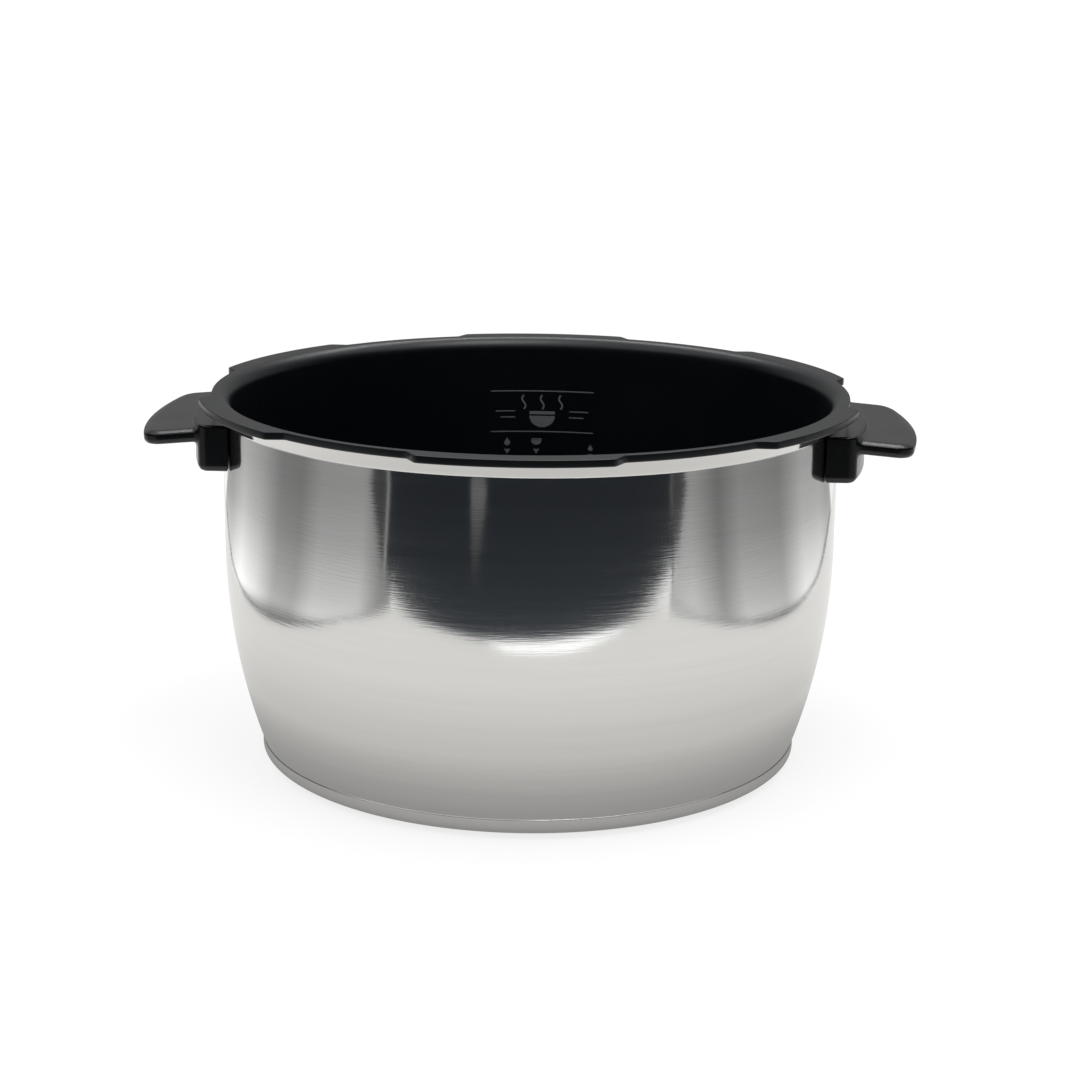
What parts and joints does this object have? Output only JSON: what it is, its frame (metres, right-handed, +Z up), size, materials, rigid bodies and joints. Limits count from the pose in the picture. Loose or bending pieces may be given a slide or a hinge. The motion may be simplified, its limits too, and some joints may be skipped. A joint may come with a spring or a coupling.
{
  "type": "rice cooker inner pot",
  "caption": "Steel-clad aluminium inner pot of a pressure rice cooker: black non-stick cavity, flat lip with bayonet lugs and moulded black side handles.",
  "frame": {"origin": "centre of the underside of the base cap", "axes": "+X through the right handle, -Y is the front, +Z up through the mouth"},
  "size_m": [0.275, 0.2368, 0.134],
  "materials": {
    "nonstick_aluminium": "black satin non-stick coating on the cavity and the lip",
    "turned_steel": "turned and polished stainless steel with fine rings round the pot",
    "handle_plastic": "satin black moulded plastic",
    "bracket_steel": "plain pressed stainless steel",
    "screw_steel": "bright screw steel"
  },
  "bodies": {
    "root": {"pot_body": "nonstick_aluminium", "steel_skin": "turned_steel", "base_cap": "turned_steel", "handle_left": "handle_plastic", "handle_right": "handle_plastic", "bracket_left": "bracket_steel", "bracket_right": "bracket_steel", "screw_left_front": "screw_steel", "screw_left_rear": "screw_steel", "screw_right_front": "screw_steel", "screw_right_rear": "screw_steel"}
  },
  "joints": []
}
